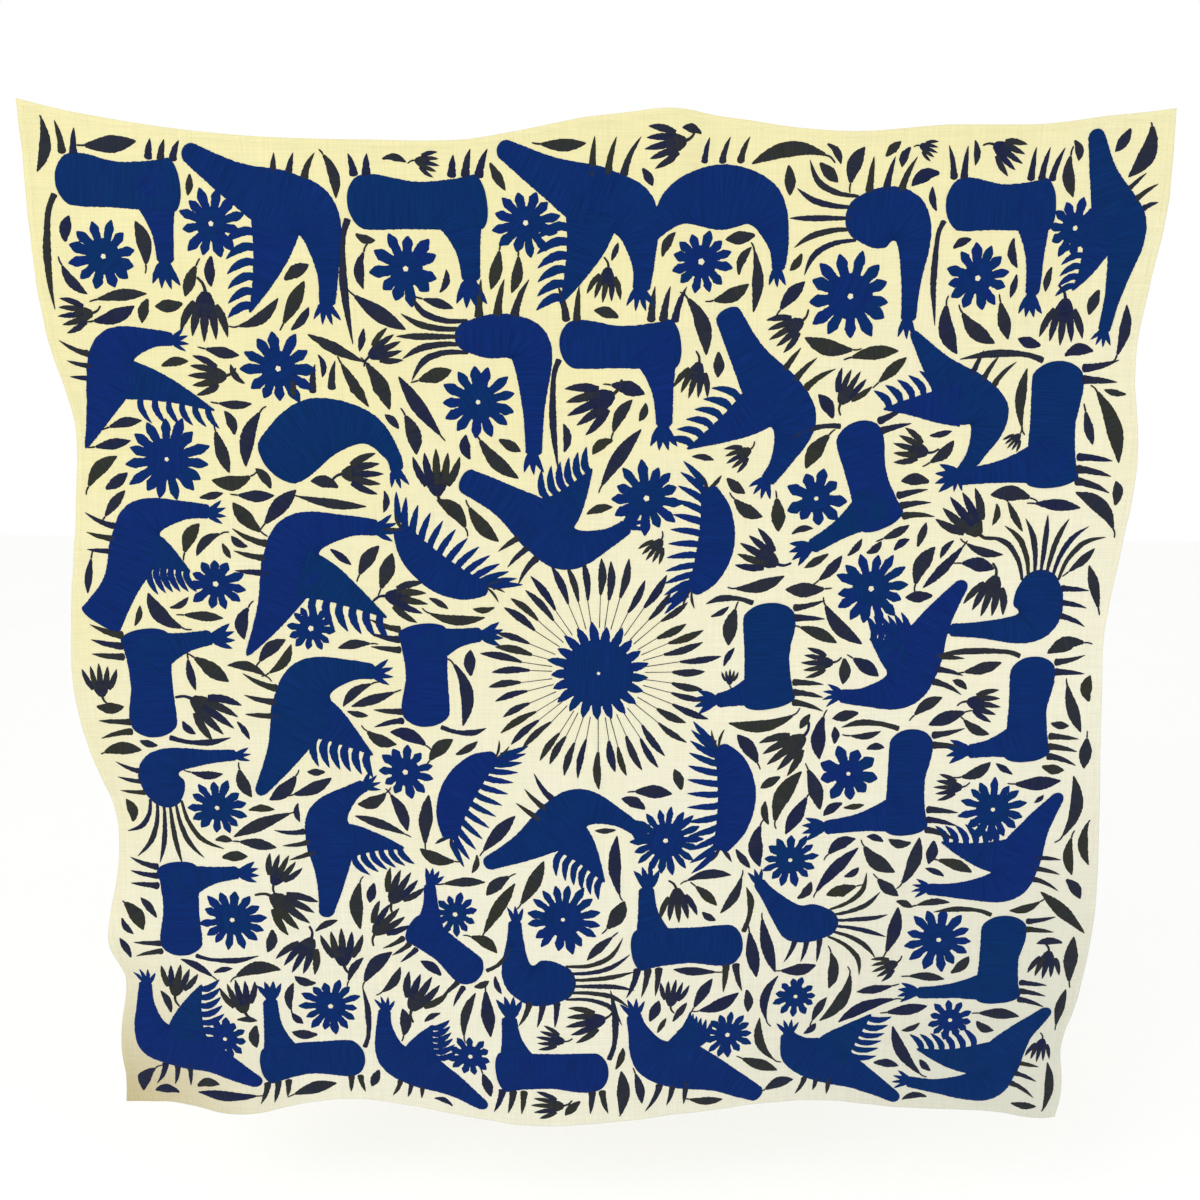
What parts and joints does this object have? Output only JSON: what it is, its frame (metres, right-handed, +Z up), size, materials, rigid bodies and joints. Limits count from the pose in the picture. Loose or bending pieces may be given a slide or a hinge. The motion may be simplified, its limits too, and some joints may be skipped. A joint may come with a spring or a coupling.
{
  "type": "otomi embroidered cloth",
  "caption": "Square cream cotton hanging, embroidered all over in navy with animals, birds, flowers and leaves around a sun flower.",
  "frame": {"origin": "the middle point that the cloth hangs from, on its top hem", "axes": "+Z up, +X across the cloth to the right of the embroidered face, -Y out of that face"},
  "size_m": [1.9083, 0.0521, 1.912],
  "materials": {
    "unbleached_cotton": "matt plain weave",
    "navy_thread": "satin stitched cotton thread"
  },
  "bodies": {
    "root": {"cloth": "unbleached_cotton"}
  },
  "joints": []
}
